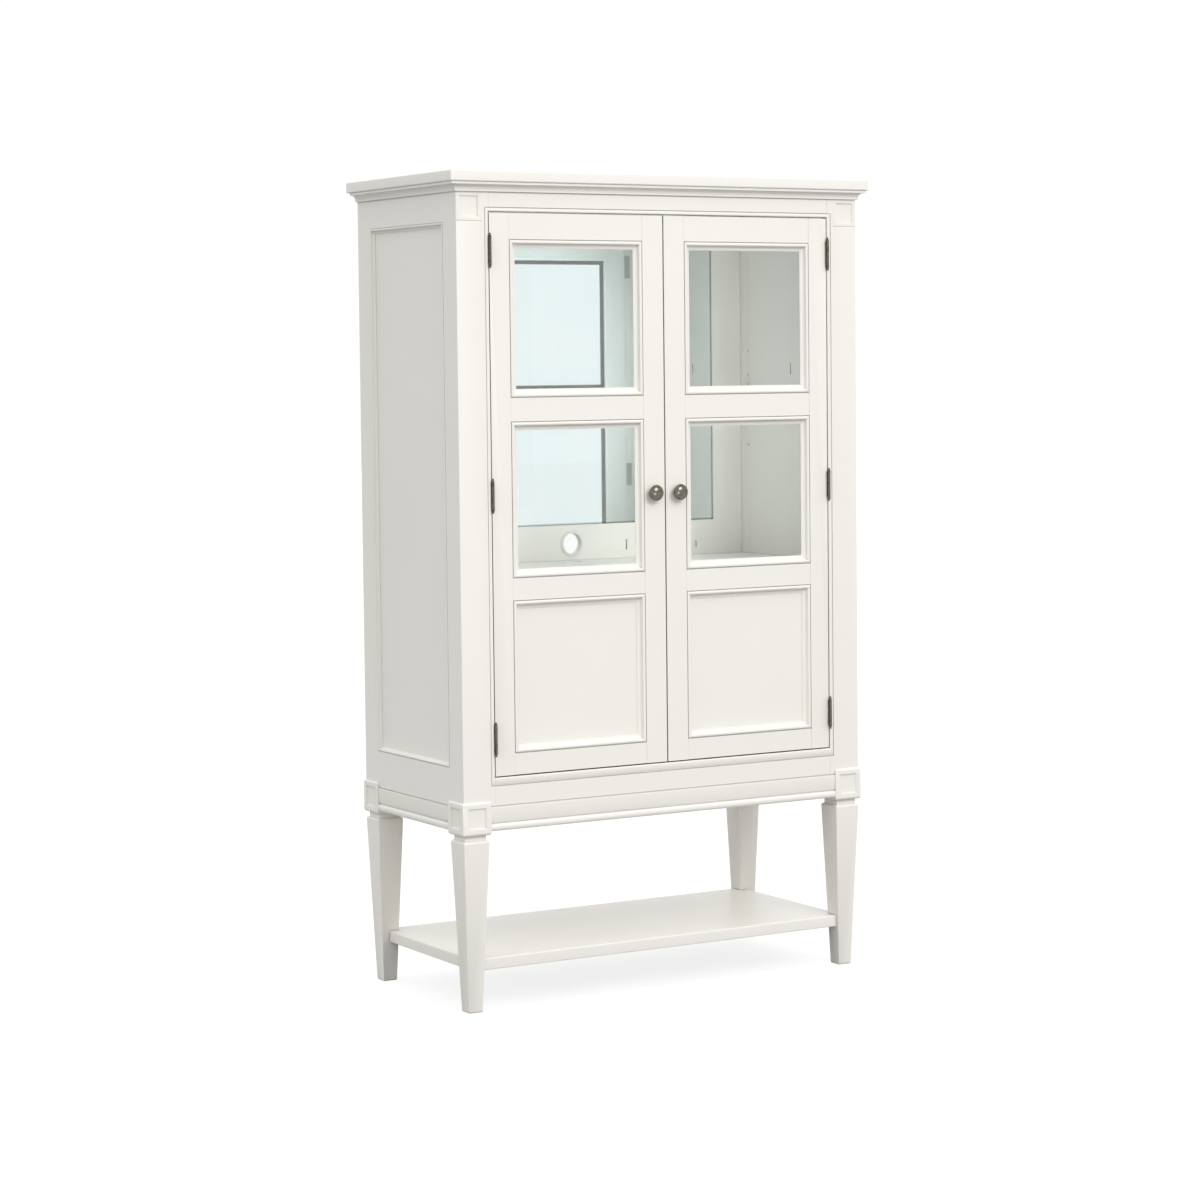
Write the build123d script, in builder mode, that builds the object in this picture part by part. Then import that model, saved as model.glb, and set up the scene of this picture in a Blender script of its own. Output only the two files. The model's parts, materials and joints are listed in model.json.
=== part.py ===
from build123d import *
import os
from math import asin, cos, sin

# ----------------------------------------------------------------------------------
# Apothecary cabinet: tall case on four tapered legs, two glazed doors, open low shelf.
# Millimetres. +X to the right, +Y to the back, +Z up.
# Origin: on the floor, under the middle of the whole footprint.
# ----------------------------------------------------------------------------------

# Overall sizes
overall_width = 1058.0
overall_depth = 500.0
overall_height = 1778.0
top_thickness = 23.0
top_overhang = 22.0
top_overhang_back = 11.0
cornice_height = 20.0

# Case body, measured over the faces of the posts
half_body = overall_width / 2 - top_overhang
y_front = -overall_depth / 2 + top_overhang
y_back = overall_depth / 2 - top_overhang_back
z_top_underside = overall_height - top_thickness
z_post_top = z_top_underside - cornice_height

# Corner posts and legs
post = 61.0
foot = 32.5
flange = 17.0
half_inner = half_body - flange
y_inner_back = y_back - flange
post_axis_x = half_body - post / 2
post_axis_y = (y_back - y_front) / 2 - post / 2
y_middle = (y_front + y_back) / 2
z_leg_top = 368.0
z_block_bottom = 379.5
block_height = 72.0
block_proud = 4.0
neck = 50.0
z_block_top = z_block_bottom + block_height
z_top_groove = 1674.0
rosette = 43.0

# Face frame and door opening
frame_thickness = 20.0
half_opening = 430.0
z_opening_bottom = 500.0
z_opening_top = 1694.0
bead_side = 10.0
bead_top = 9.0
bead_bottom = 18.0
bead_depth = 9.0
z_apron_top = 440.5
z_apron_bottom = 387.0

# Side panels
z_side_opening_bottom = 521.0
z_side_opening_top = 1673.5
side_recess = 8.0
side_bead = 11.0
panel_lip = 8.0

# Back, mirror and shelves
z_back_rail_low = 520.0
z_back_rail_high = 1715.0
back_panel_thickness = 6.0
y_back_panel = y_back - 9.0
mirror_frame_half = 446.0
mirror_frame_thickness = 10.0
mirror_half = 409.0
mirror_thickness = 5.0
z_mirror_bottom = 1002.0
z_mirror_top = 1700.0
z_fixed_shelf = 920.0
board = 18.0
cable_x = 20.0
cable_z = 959.0
cable_radius = 24.0
grommet_wall = 2.0
grommet_flange = 30.0
shelf_cable_radius = 19.0
low_shelf_top = 113.0
low_shelf_thickness = 25.0
low_shelf_half_width = 479.0
low_shelf_half_depth = 215.0
pin_hole_radius = 3.0
pin_hole_depth = 9.0
pin_from_edge = 47.5
pin_heights = (1177.5, 1321.0, 1342.5, 1400.0)
slot_width = 4.0
slot_depth = 4.0

# Doors
door_set_back = 2.0
door_thickness = 22.0
door_edge_gap = 2.0
door_middle_gap = 3.0
door_top_gap = 2.5
door_bottom_gap = 2.5
stile_inner = 53.0
stile_outer = 381.0
z_panel_bottom = 548.5
z_panel_top = 873.5
z_low_glass_bottom = 921.0
z_low_glass_top = 1252.5
z_high_glass_bottom = 1303.0
z_high_glass_top = 1636.5
moulding_width = 18.5
moulding_depth = 10.0
glass_thickness = 3.0
door_panel_thickness = 8.0
stop_bead = 9.0
y_door = y_front + door_set_back
y_door_back = y_door + door_thickness
half_door = half_opening - door_edge_gap
half_meeting = door_middle_gap / 2
z_door_bottom = z_opening_bottom + door_bottom_gap
z_door_top = z_opening_top - door_top_gap

# Hinges: five knuckles, ball finials, frame leaf wrapped behind the face frame
hinge_from_end = 79.0
hinge_heights = (
    z_door_bottom + hinge_from_end,
    (z_door_bottom + z_door_top) / 2,
    z_door_top - hinge_from_end,
)
hinge_x = half_opening - door_edge_gap / 2
hinge_y = y_front - 3.7
knuckle_radius = 3.1
barrel_length = 63.0
knuckle_gap = 0.3
pin_radius = 1.5
pin_clearance = 0.05
leaf = 1.6
leaf_height = 55.0
frame_leaf_width = 15.0
door_leaf_depth = 18.0
finial_radius = 2.4
leaf_screw_radius = 1.5
leaf_screw_head = 2.9
leaf_screw_length = 10.5
leaf_screw_spread = 17.0
frame_screw_x = 438.0
door_screw_y = 9.5
knuckles = 5

# Knobs and catches
knob_x = 31.0
knob_z = 1092.0
knob_radius = 17.5
knob_projection = 23.8
knob_rim = 14.5
knob_screw_radius = 2.0
z_catch = 890.0


def block_of(low, high, edge=0.0):
    """A plain board between two corners, with its edges eased."""
    size = [b - a for a, b in zip(low, high)]
    middle = [(a + b) / 2 for a, b in zip(low, high)]
    with BuildPart() as piece:
        with Locations(tuple(middle)):
            Box(*size)
        if edge:
            chamfer(piece.edges(), edge)
    return piece.part


def rounded_block(width, z_low, z_high, top_bevel, bottom_round):
    """A square block about the Z axis with a bevelled top and a rounded bottom edge."""
    with BuildPart() as piece:
        with BuildSketch(Plane.XY.offset(z_low)):
            Rectangle(width, width)
        extrude(amount=z_high - z_low)
        if top_bevel:
            chamfer(piece.faces().sort_by(Axis.Z)[-1].edges(), top_bevel)
        fillet(piece.faces().sort_by(Axis.Z)[0].edges(), bottom_round)
        fillet(piece.edges().filter_by(Axis.Z), 1.0)
    return piece.part


def tapered_leg():
    """The square leg under the case, about the Z axis."""
    with BuildPart() as piece:
        with BuildSketch():
            Rectangle(foot, foot)
        with BuildSketch(Plane.XY.offset(z_leg_top)):
            Rectangle(post, post)
        loft()
        fillet(piece.faces().sort_by(Axis.Z)[-1].edges(), 5.0)
        chamfer(piece.faces().sort_by(Axis.Z)[0].edges(), 1.5)
    return piece.part


def inset_square(side, depth):
    """The bevelled sinking of a rosette, cut below the XY plane."""
    with BuildPart() as piece:
        with BuildSketch(Plane.XY.offset(-depth)):
            Rectangle(side - 2.4, side - 2.4)
        with BuildSketch(Plane.XY.offset(0.01)):
            Rectangle(side, side)
        loft()
    return piece.part


def moulded_frame(outer, inner, section, depth, height):
    """Four mitred strips between two rectangles on the XY plane, face up.

    outer and inner are (low x, low y, high x, high y). section(width) draws the
    strip's profile, x inward from the outer edge and y up from the face.
    """
    ox0, oy0, ox1, oy1 = outer
    ix0, iy0, ix1, iy1 = inner
    sides = (
        ((ox0, oy0), (ox1, oy0), (ix1, iy0), (ix0, iy0), (0, 1)),
        ((ox1, oy0), (ox1, oy1), (ix1, iy1), (ix1, iy0), (-1, 0)),
        ((ox1, oy1), (ox0, oy1), (ix0, iy1), (ix1, iy1), (0, -1)),
        ((ox0, oy1), (ox0, oy0), (ix0, iy0), (ix0, iy1), (1, 0)),
    )
    strips = []
    for a, b, c, d, inward in sides:
        middle = ((a[0] + b[0]) / 2, (a[1] + b[1]) / 2, 0)
        inward_vector = Vector(*inward, 0)
        run = abs(b[0] - a[0]) + abs(b[1] - a[1])
        width = (Vector(*d, 0) - Vector(*a, 0)).dot(inward_vector)
        across = Plane(middle, x_dir=inward_vector, z_dir=inward_vector.cross(Vector(0, 0, 1)))
        with BuildPart() as strip:
            with BuildSketch(across):
                add(section(width))
            extrude(amount=run / 2, both=True)
            with BuildSketch(Plane.XY.offset(-depth)):
                with BuildLine():
                    Polyline(a, b, c, d, close=True)
                make_face()
            extrude(amount=depth + height, mode=Mode.INTERSECT)
        strips.append(strip.part)
    return strips


def door_moulding_section(width):
    """Quirk, half-round bead, cove and flat lip down to the glass."""
    bead_end = 8.5
    lip = width - 2.5
    cove = -8.5
    with BuildSketch() as section:
        with BuildLine():
            Polyline(
                (lip, cove), (width, cove), (width, -moulding_depth),
                (0, -moulding_depth), (0, -1.6), (1.5, -1.6),
            )
            Line((1.5, -1.6), (1.5, 0.3))
            ThreePointArc((1.5, 0.3), ((1.5 + bead_end) / 2, 1.7), (bead_end, 0.3))
            Line((bead_end, 0.3), (bead_end, -1.4))
            ThreePointArc((bead_end, -1.4), (bead_end + 2.2, -6.4), (lip, cove))
        make_face()
    return section.sketch_local


def side_moulding_section(width):
    """Small bead and cove down to the side panel."""
    with BuildSketch() as section:
        with BuildLine():
            Polyline(
                (width - 1.2, -6.0), (width, -6.0), (width, -side_recess),
                (0, -side_recess), (0, -1.0), (1.0, -1.0),
            )
            Line((1.0, -1.0), (1.0, 0.2))
            ThreePointArc((1.0, 0.2), (3.0, 1.2), (5.0, 0.2))
            Line((5.0, 0.2), (5.0, -0.8))
            ThreePointArc((5.0, -0.8), (6.4, -4.4), (width - 1.2, -6.0))
        make_face()
    return section.sketch_local


def opening_bead_section(width):
    """Flat bead with an eased inner edge."""
    round_start = width - 4.0
    with BuildSketch() as section:
        with BuildLine():
            Polyline(
                (0, -bead_depth), (0, 0), (round_start, 0), (width - 1.2, -1.0), (width, -3.2),
                (width, -bead_depth), close=True,
            )
        make_face()
    return section.sketch_local


def glass_stop_section(width):
    """Square bead behind a pane, one corner eased."""
    depth = door_thickness - moulding_depth - glass_thickness
    with BuildSketch() as section:
        with BuildLine():
            Polyline((0, 0), (width - 2.0, 0), (width, -2.0), (width, -depth), (0, -depth), close=True)
        make_face()
    return section.sketch_local


def panel_stop_section(width):
    """Low bead behind the wooden panel, one corner eased."""
    depth = door_thickness - moulding_depth - door_panel_thickness
    with BuildSketch() as section:
        with BuildLine():
            Polyline((0, 0), (width - 1.5, 0), (width, -1.5), (width, -depth), (0, -depth), close=True)
        make_face()
    return section.sketch_local


def apron_section():
    """Profile of the base apron: x outward from the post face, y is height."""
    shoulder = z_apron_top - 2.0
    waist = 404.0
    with BuildSketch() as section:
        with BuildLine():
            Polyline(
                (-1.5, shoulder), (-1.5, z_apron_top), (-flange, z_apron_top),
                (-flange, z_apron_bottom), (-1.0, z_apron_bottom),
            )
            ThreePointArc((-1.0, z_apron_bottom), (3.4, z_apron_bottom + 7.5), (-1.0, z_apron_bottom + 15.0))
            Line((-1.0, z_apron_bottom + 15.0), (-4.5, waist))
            ThreePointArc((-4.5, waist), (1.2, 421.0), (2.0, shoulder))
            Line((2.0, shoulder), (-1.5, shoulder))
        make_face()
    return section.sketch_local


def cornice_section():
    """Profile of the cornice: x outward from the post face, y is height."""
    fillet_bottom = z_top_underside - 5.5
    lip_top = z_post_top + 4.5
    with BuildSketch() as section:
        with BuildLine():
            Polyline(
                (4.5, lip_top), (4.5, z_post_top), (-flange, z_post_top),
                (-flange, z_top_underside), (18.0, z_top_underside),
                (18.0, fillet_bottom), (15.0, fillet_bottom),
            )
            ThreePointArc((15.0, fillet_bottom), (7.6, fillet_bottom - 2.9), (4.5, lip_top))
        make_face()
    return section.sketch_local


# ------------------------------------------------------------------- shared shapes
def facing_front(y):
    """Plane looking out of the front: x to the right, y up."""
    return Plane((0, y, 0), x_dir=(1, 0, 0), z_dir=(0, -1, 0))


def facing_back(y):
    """Plane looking out of the back: x to the left, y up."""
    return Plane((0, y, 0), x_dir=(-1, 0, 0), z_dir=(0, 1, 0))


def facing_left(x):
    """Plane looking out of the left side: x to the front, y up."""
    return Plane((x, 0, 0), x_dir=(0, -1, 0), z_dir=(-1, 0, 0))


def spot(plane, x, y):
    """A place on a plane, given in the plane's own x and y."""
    return plane.location * Location((x, y, 0))


z_rosette_top = (z_top_groove + z_post_top) / 2
z_rosette_base = (z_block_bottom + z_block_top) / 2 + 1.0
y_post_left = y_front + post

side_panel_box = block_of(
    (-half_body + side_recess, y_post_left - panel_lip, z_side_opening_bottom - panel_lip),
    (-half_inner, y_back - post + panel_lip, z_side_opening_top + panel_lip),
)
back_rebate = block_of(
    (-half_body + post - 12.0, y_back_panel, z_back_rail_low - 12.0),
    (half_body - post + 12.0, y_back + 1.0, z_back_rail_high + 12.0),
)
bead_rebate = block_of(
    (-half_opening - bead_side, y_front - 1.0, z_opening_bottom - bead_bottom),
    (half_opening + bead_side, y_front + bead_depth, z_opening_top + bead_top),
)


def corner_post(front):
    """Left corner post above its leg: an L of two boards. The rear one is the front one turned round."""
    with BuildPart() as piece:
        with BuildSketch(Plane.XY.offset(z_block_top)):
            with Locations((-half_body, y_front)):
                Rectangle(post, post, align=(Align.MIN, Align.MIN))
            with Locations((-half_inner, y_front + flange)):
                Rectangle(post, post, align=(Align.MIN, Align.MIN), mode=Mode.SUBTRACT)
        extrude(amount=z_post_top - z_block_top)
        uprights = piece.edges().filter_by(Axis.Z)
        fillet(uprights.sort_by_distance((-half_body, y_front, 1000))[0], 1.5)
        if front:
            with Locations(spot(facing_front(y_front), -post_axis_x, z_rosette_top)):
                add(inset_square(rosette, 2.5), mode=Mode.SUBTRACT)
            groove_start = (-half_body - 1, y_front, z_top_groove)
            with BuildSketch(Plane(groove_start, x_dir=(0, 1, 0), z_dir=(1, 0, 0))):
                with BuildLine():
                    Polyline((-1, -2.3), (1.3, 0), (-1, 2.3), close=True)
                make_face()
            extrude(amount=post + 2, mode=Mode.SUBTRACT)
        with Locations(Plane((-half_inner, y_front + pin_from_edge, 0), x_dir=(0, 1, 0), z_dir=(1, 0, 0))):
            with Locations(*[(0, height) for height in pin_heights]):
                Hole(radius=pin_hole_radius, depth=pin_hole_depth)
        if not front:
            mirror(about=Plane.XZ.offset(-y_middle), mode=Mode.REPLACE)
            add(back_rebate, mode=Mode.SUBTRACT)
        add(side_panel_box, mode=Mode.SUBTRACT)
    return piece.part


def corner_leg(front):
    """Left leg: square base block with rosettes, recessed neck and tapered foot."""
    with BuildPart() as piece:
        with Locations((-post_axis_x, y_middle - post_axis_y, 0)):
            add(tapered_leg())
            add(block_of((-neck / 2, -neck / 2, z_leg_top - 5), (neck / 2, neck / 2, z_block_bottom + 5)))
            add(rounded_block(post + 2 * block_proud, z_block_bottom, z_block_top, block_proud - 0.4, 6.0))
        with Locations(spot(facing_left(-half_body - block_proud), -y_front - post / 2, z_rosette_base)):
            add(inset_square(rosette, 2.5), mode=Mode.SUBTRACT)
        if front:
            with Locations(spot(facing_front(y_front - block_proud), -post_axis_x, z_rosette_base)):
                add(inset_square(rosette, 2.5), mode=Mode.SUBTRACT)
        else:
            mirror(about=Plane.XZ.offset(-y_middle), mode=Mode.REPLACE)
    return piece.part


# ------------------------------------------------------------- corner posts and legs
with BuildPart() as post_front_left:
    add(corner_post(front=True))

with BuildPart() as post_rear_left:
    add(corner_post(front=False))

with BuildPart() as leg_front_left:
    add(corner_leg(front=True))

with BuildPart() as leg_rear_left:
    add(corner_leg(front=False))

# ------------------------------------------------------------- face frame and bead
with BuildPart() as frame_stiles:
    add(block_of(
        (-half_body + post, y_front, z_apron_top), (-half_opening, y_front + frame_thickness, z_post_top),
    ))
    add(bead_rebate, mode=Mode.SUBTRACT)
    add(leg_front_left.part, mode=Mode.SUBTRACT)
    for height in hinge_heights:
        for spread in (-leaf_screw_spread, leaf_screw_spread):
            leaf_back = facing_back(y_front + frame_thickness + leaf)
            with Locations(spot(leaf_back, frame_screw_x, height + spread)):
                Cylinder(leaf_screw_radius, 2 * leaf_screw_length, mode=Mode.SUBTRACT)
    mirror(about=Plane.YZ)

with BuildPart() as frame_top_rail:
    add(block_of(
        (-half_opening, y_front, z_opening_top), (half_opening, y_front + frame_thickness, z_post_top),
    ))
    add(bead_rebate, mode=Mode.SUBTRACT)

with BuildPart() as frame_bottom_rail:
    add(block_of(
        (-half_opening, y_front, z_apron_top), (half_opening, y_front + frame_thickness, z_opening_bottom),
    ))
    add(bead_rebate, mode=Mode.SUBTRACT)

bead_outer = (
    -half_opening - bead_side, z_opening_bottom - bead_bottom,
    half_opening + bead_side, z_opening_top + bead_top,
)
bead_inner = (-half_opening, z_opening_bottom, half_opening, z_opening_top)
with BuildPart() as opening_bead:
    with Locations(facing_front(y_front)):
        add(moulded_frame(bead_outer, bead_inner, opening_bead_section, bead_depth, 1.0))

# --------------------------------------------------------------------- side walls
y_side_low = y_front + post
y_side_high = y_back - post

with BuildPart() as side_panel_left:
    add(side_panel_box)
    with BuildSketch(Plane((-half_inner, y_front + 240.0, 1357.0), x_dir=(0, 0, 1), z_dir=(1, 0, 0))):
        SlotOverall(27.0, slot_width)
    extrude(amount=-slot_depth, mode=Mode.SUBTRACT)

with BuildPart() as side_rails_left:
    add(block_of((-half_body, y_side_low, z_side_opening_top), (-half_inner, y_side_high, z_post_top)))
    add(block_of((-half_body, y_side_low, z_apron_top), (-half_inner, y_side_high, z_side_opening_bottom)))
    add(side_panel_box, mode=Mode.SUBTRACT)
    add(leg_front_left.part, mode=Mode.SUBTRACT)
    add(leg_rear_left.part, mode=Mode.SUBTRACT)

side_outer = (-y_side_high, z_side_opening_bottom, -y_side_low, z_side_opening_top)
side_inner = (
    -y_side_high + side_bead, z_side_opening_bottom + side_bead,
    -y_side_low - side_bead, z_side_opening_top - side_bead,
)
with BuildPart() as side_mouldings:
    with Locations(facing_left(-half_body)):
        add(moulded_frame(side_outer, side_inner, side_moulding_section, side_recess, 2.0))
    mirror(about=Plane.YZ)

# --------------------------------------------------------------- aprons and cornice
x_block_inner = half_body - post - block_proud

with BuildPart() as apron_front:
    with BuildSketch(Plane((-x_block_inner, y_front, 0), x_dir=(0, -1, 0), z_dir=(-1, 0, 0))):
        add(apron_section())
    extrude(amount=-2 * x_block_inner)

with BuildPart() as apron_sides:
    with BuildSketch(Plane((-half_body, y_front + post + block_proud, 0), x_dir=(-1, 0, 0), z_dir=(0, 1, 0))):
        add(apron_section())
    extrude(amount=y_back - y_front - 2 * post - 2 * block_proud)
    mirror(about=Plane.YZ)

with BuildPart() as cornice_front:
    with BuildSketch(Plane((0, y_front, 0), x_dir=(0, -1, 0), z_dir=(-1, 0, 0))):
        add(cornice_section())
    extrude(amount=half_body + 20.0, both=True)
    with BuildSketch(Plane.XY.offset(z_post_top)):
        with BuildLine():
            Polyline(
                (-half_body - 20, y_front - 20), (half_body + 20, y_front - 20),
                (half_inner, y_front + flange), (-half_inner, y_front + flange), close=True,
            )
        make_face()
    extrude(amount=cornice_height, mode=Mode.INTERSECT)

with BuildPart() as cornice_sides:
    with BuildSketch(Plane((-half_body, y_back, 0), x_dir=(-1, 0, 0), z_dir=(0, 1, 0))):
        add(cornice_section())
    extrude(amount=-(y_back - y_front + 20.0))
    with BuildSketch(Plane.XY.offset(z_post_top)):
        with BuildLine():
            Polyline(
                (-half_body - 20, y_front - 20), (-half_inner, y_front + flange),
                (-half_inner, y_back), (-half_body - 20, y_back), close=True,
            )
        make_face()
    extrude(amount=cornice_height, mode=Mode.INTERSECT)
    mirror(about=Plane.YZ)

with BuildPart() as top_board:
    with Locations((0, 0, z_top_underside + top_thickness / 2)):
        Box(overall_width, overall_depth, top_thickness)
    fillet(top_board.edges().filter_by(Axis.Z), 2.0)
    fillet(top_board.faces().sort_by(Axis.Z)[-1].edges(), 2.0)
    fillet(top_board.faces().sort_by(Axis.Z)[0].edges(), 3.0)

# ------------------------------------------------------------------- back and mirror
half_back = half_body - post

with BuildPart() as back_rails:
    add(block_of((-half_back, y_inner_back, z_back_rail_high), (half_back, y_back, z_top_underside)))
    add(block_of((-half_inner, y_inner_back, z_post_top), (half_inner, y_back, z_top_underside)))
    add(block_of((-half_back, y_inner_back, z_apron_top), (half_back, y_back, z_back_rail_low)))
    add(back_rebate, mode=Mode.SUBTRACT)
    add(leg_rear_left.part, mode=Mode.SUBTRACT)
    mirror(leg_rear_left.part, about=Plane.YZ, mode=Mode.SUBTRACT)

with BuildPart() as back_panel:
    add(block_of(
        (-half_back - 12.0, y_back_panel, z_back_rail_low - 12.0),
        (half_back + 12.0, y_back_panel + back_panel_thickness, z_back_rail_high + 12.0),
    ))
    with Locations(spot(facing_back(y_back_panel), -cable_x, cable_z)):
        Cylinder(cable_radius + grommet_wall, 60.0, mode=Mode.SUBTRACT)

y_mirror_board = y_back_panel - mirror_frame_thickness
with BuildPart() as mirror_board:
    add(block_of(
        (-mirror_frame_half, y_mirror_board, z_fixed_shelf),
        (mirror_frame_half, y_back_panel, z_back_rail_high),
    ))
    add(block_of(
        (-mirror_half, y_mirror_board - 1.0, z_mirror_bottom),
        (mirror_half, y_back_panel + 1.0, z_mirror_top),
    ), mode=Mode.SUBTRACT)
    with Locations(spot(facing_back(y_back_panel), -cable_x, cable_z)):
        Cylinder(cable_radius + grommet_wall, 60.0, mode=Mode.SUBTRACT)
    with BuildSketch(facing_front(y_mirror_board)):
        with Locations((166.0, 952.0)):
            SlotOverall(24.0, slot_width, rotation=90)
        with Locations((358.0, 945.0)):
            SlotOverall(16.0, slot_width, rotation=90)
    extrude(amount=-slot_depth, mode=Mode.SUBTRACT)

with BuildPart() as mirror_glass:
    add(block_of(
        (-mirror_half, y_back_panel - mirror_thickness, z_mirror_bottom),
        (mirror_half, y_back_panel, z_mirror_top),
    ))

with BuildPart() as cable_grommet:
    with BuildSketch(Plane(
        (cable_x, y_back_panel + back_panel_thickness, cable_z), x_dir=(1, 0, 0), z_dir=(0, -1, 0),
    )):
        Circle(cable_radius + grommet_wall)
        Circle(cable_radius, mode=Mode.SUBTRACT)
    extrude(amount=mirror_frame_thickness + back_panel_thickness)
    with BuildSketch(Plane((cable_x, y_mirror_board, cable_z), x_dir=(1, 0, 0), z_dir=(0, -1, 0))):
        Circle(grommet_flange)
        Circle(cable_radius, mode=Mode.SUBTRACT)
    extrude(amount=2.0)
    fillet(cable_grommet.faces().sort_by(Axis.Y)[0].outer_wire().edges(), 1.2)

# ----------------------------------------------------------------- floor and shelves
with BuildPart() as inner_top:
    add(block_of((-half_inner, y_front + flange, z_post_top), (half_inner, y_inner_back, z_top_underside)))

with BuildPart() as cabinet_floor:
    z_floor = z_opening_bottom - board
    add(block_of((-half_inner, y_front + flange, z_floor), (half_inner, y_inner_back, z_opening_bottom)))
    add(block_of((-half_back, y_inner_back, z_floor), (half_back, y_back_panel, z_opening_bottom)))
    add(block_of(
        (-half_back, y_front, z_floor), (half_back, y_front + frame_thickness, z_opening_bottom),
    ), mode=Mode.SUBTRACT)
    add(block_of(
        (-half_back, y_inner_back, z_floor), (half_back, y_back_panel, z_opening_bottom),
    ), mode=Mode.SUBTRACT)

with BuildPart() as fixed_shelf:
    add(block_of(
        (-half_inner, y_front + 26.0, z_fixed_shelf - board), (half_inner, y_inner_back, z_fixed_shelf),
    ))
    add(block_of((-half_back, y_inner_back, z_fixed_shelf - board), (half_back, y_back_panel, z_fixed_shelf)))
    with Locations((8.0, y_front + 415.0, z_fixed_shelf)):
        Cylinder(shelf_cable_radius, 60.0, mode=Mode.SUBTRACT)

with BuildPart() as low_shelf:
    with Locations((0, y_middle, low_shelf_top - low_shelf_thickness / 2)):
        Box(2 * low_shelf_half_width, 2 * low_shelf_half_depth, low_shelf_thickness)
    fillet(low_shelf.faces().sort_by(Axis.Z)[-1].edges(), 2.5)
    fillet(low_shelf.faces().sort_by(Axis.Z)[0].edges(), 2.0)
    for corner in (leg_front_left.part, leg_rear_left.part):
        add(corner, mode=Mode.SUBTRACT)
        mirror(corner, about=Plane.YZ, mode=Mode.SUBTRACT)

# ------------------------------------------------------------------------ left door
x_hinge_side = -half_door
x_hinge_rail = -stile_outer
x_meeting_rail = -stile_inner
x_meeting_side = -half_meeting


def door_bar(x_low, x_high, z_low, z_high):
    """One stile or rail of the left door."""
    return block_of((x_low, y_door, z_low), (x_high, y_door_back, z_high))


openings = (
    (x_hinge_rail, z_panel_bottom, x_meeting_rail, z_panel_top),
    (x_hinge_rail, z_low_glass_bottom, x_meeting_rail, z_low_glass_top),
    (x_hinge_rail, z_high_glass_bottom, x_meeting_rail, z_high_glass_top),
)


def shrunk(rectangle, margin):
    """The same rectangle, smaller all round by a margin."""
    x_low, z_low, x_high, z_high = rectangle
    return (x_low + margin, z_low + margin, x_high - margin, z_high - margin)


def turned(rectangle):
    """The same rectangle seen from the other side."""
    x_low, z_low, x_high, z_high = rectangle
    return (-x_high, z_low, -x_low, z_high)


def leaf_screw():
    """Countersunk screw along Z, its head flush with the XY plane."""
    with BuildPart() as piece:
        with BuildSketch(Plane.XZ):
            with BuildLine():
                Polyline(
                    (0, 0), (leaf_screw_head, 0), (leaf_screw_radius, -leaf),
                    (leaf_screw_radius, -leaf_screw_length),
                    (0, -leaf_screw_length), close=True,
                )
            make_face()
        revolve(axis=Axis.Z)
    return piece.part


def knuckle_spans():
    """Low and high end of each knuckle about the middle of the barrel."""
    length = (barrel_length - (knuckles - 1) * knuckle_gap) / knuckles
    starts = [-barrel_length / 2 + k * (length + knuckle_gap) for k in range(knuckles)]
    return [(start, start + length) for start in starts]


def frame_leaf():
    """Leaf on the left stile: odd knuckles, web through the gap, plate behind the stile."""
    x_edge = -half_opening
    y_clear = hinge_y + knuckle_radius + 0.2
    y_plate = y_front + frame_thickness
    with BuildPart() as piece:
        for low, high in knuckle_spans()[0::2]:
            with Locations((-hinge_x, hinge_y, (low + high) / 2)):
                Cylinder(knuckle_radius, high - low)
            add(block_of((x_edge, hinge_y, low), (x_edge + leaf, y_clear, high)))
        half = leaf_height / 2
        add(block_of((x_edge, y_clear, -half), (x_edge + leaf, y_plate + leaf, half)))
        add(block_of((x_edge - frame_leaf_width, y_plate, -half), (x_edge + leaf, y_plate + leaf, half)))
        with Locations((-hinge_x, hinge_y, 0)):
            Cylinder(pin_radius + pin_clearance, 2 * barrel_length, mode=Mode.SUBTRACT)
        for spread in (-leaf_screw_spread, leaf_screw_spread):
            with Locations(spot(facing_back(y_plate + leaf), frame_screw_x, spread)):
                add(leaf_screw(), mode=Mode.SUBTRACT)
    return piece.part


def door_leaf():
    """Leaf let into the edge of the left door: even knuckles and a flat plate."""
    x_edge = x_hinge_side
    y_clear = hinge_y + knuckle_radius + 0.2
    with BuildPart() as piece:
        for low, high in knuckle_spans()[1::2]:
            with Locations((-hinge_x, hinge_y, (low + high) / 2)):
                Cylinder(knuckle_radius, high - low)
            add(block_of((x_edge, hinge_y, low), (x_edge + leaf, y_clear, high)))
        half = leaf_height / 2
        add(block_of((x_edge, y_clear, -half), (x_edge + leaf, y_door + door_leaf_depth, half)))
        with Locations((-hinge_x, hinge_y, 0)):
            Cylinder(pin_radius + pin_clearance, 2 * barrel_length, mode=Mode.SUBTRACT)
        for spread in (-leaf_screw_spread, leaf_screw_spread):
            with Locations(spot(facing_left(x_edge), -y_door - door_screw_y, spread)):
                add(leaf_screw(), mode=Mode.SUBTRACT)
    return piece.part


def hinge_pin():
    """Pin with a ball finial at both ends of the barrel."""
    half = barrel_length / 2
    with BuildPart() as piece:
        Cylinder(pin_radius, barrel_length + 4.0)
        for side in (-1, 1):
            with Locations((0, 0, side * (half + 1.1))):
                Cylinder(2.1, 1.6)
            with Locations((0, 0, side * (half + 3.3))):
                Sphere(finial_radius)
    return piece.part


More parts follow.
